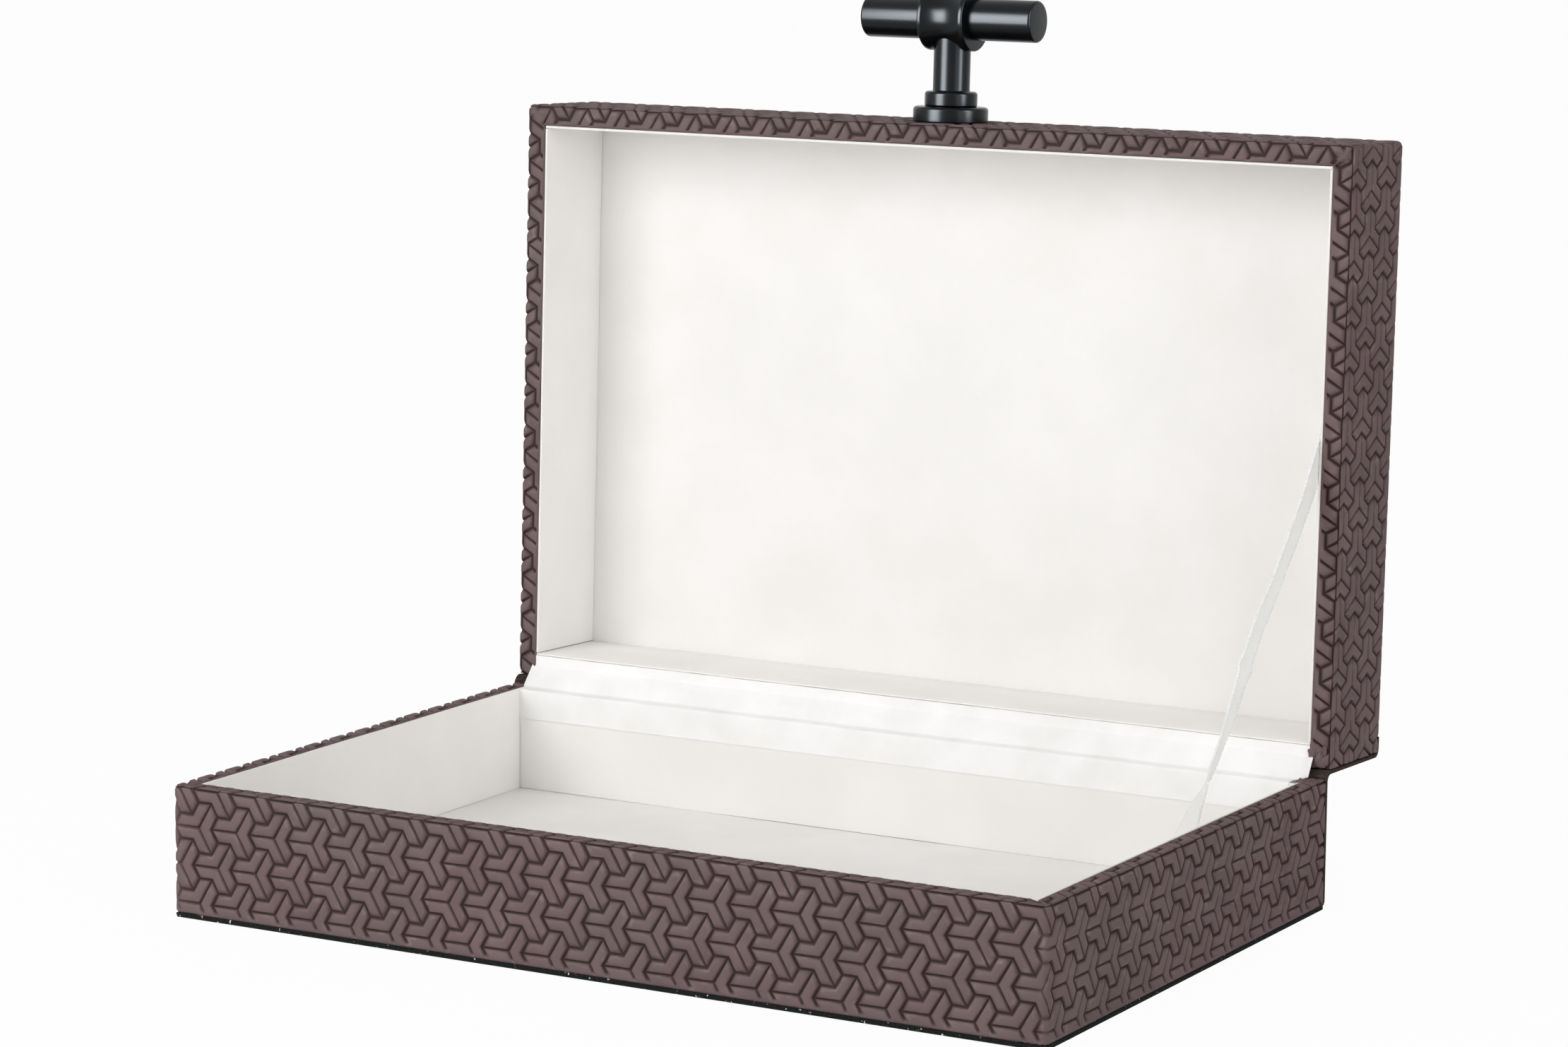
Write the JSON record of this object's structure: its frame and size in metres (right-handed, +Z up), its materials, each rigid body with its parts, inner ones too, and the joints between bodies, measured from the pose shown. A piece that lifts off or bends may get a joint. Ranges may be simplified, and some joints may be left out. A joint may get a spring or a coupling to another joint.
{
  "type": "hinged presentation box",
  "caption": "Rectangular hinged storage box of board trays in an embossed leatherette cover, with paper lining, ribbon stay and a metal T-bar pull on the lid",
  "frame": {"origin": "centre of the base's footprint, on the underside of the felt sole", "axes": "+X along the width to the right, +Y to the back where the hinge is, +Z up; the lid stands open at rest"},
  "size_m": [0.28, 0.2254, 0.2622],
  "materials": {
    "embossed_cover": "embossed matt",
    "spine_sheet": "matt",
    "greyboard": "plain",
    "lining_paper": "matt",
    "hinge_cloth": "fine weave",
    "ribbon": "satin ribbon",
    "felt": "felt",
    "black_metal": "satin black",
    "steel": "zinc plated"
  },
  "bodies": {
    "base": {"base_sole": "felt", "base_floor_board": "greyboard", "base_front_board": "greyboard", "base_back_board": "greyboard", "base_left_board": "greyboard", "base_right_board": "greyboard", "base_cover_band": "embossed_cover", "base_back_cover": "embossed_cover", "base_floor_lining": "lining_paper", "base_front_lining": "lining_paper", "base_back_lining": "lining_paper", "base_left_lining": "lining_paper", "base_right_lining": "lining_paper", "hinge_spine_flex": "spine_sheet", "hinge_lining_strip": "hinge_cloth", "ribbon_stay": "ribbon"},
    "lid": {"lid_top_board": "greyboard", "lid_front_board": "greyboard", "lid_back_board": "greyboard", "lid_left_board": "greyboard", "lid_right_board": "greyboard", "lid_cover_band": "embossed_cover", "lid_back_cover": "embossed_cover", "lid_top_cover": "embossed_cover", "lid_top_lining": "lining_paper", "lid_front_lining": "lining_paper", "lid_back_lining": "lining_paper", "lid_left_lining": "lining_paper", "lid_right_lining": "lining_paper", "pull_rosette": "black_metal", "pull_post": "black_metal", "pull_collar": "black_metal", "pull_bar": "black_metal", "pull_screw": "steel", "pull_washer": "steel"}
  },
  "joints": [
    {"name": "lid_hinge", "type": "hinge", "parent": "base", "child": "lid", "pos_m": [0, 0.09205, 0.04005], "axis": [1, 0, 0], "range_deg": [0, 92], "deforming": ["hinge_spine_flex", "hinge_lining_strip", "ribbon_stay"]}
  ]
}
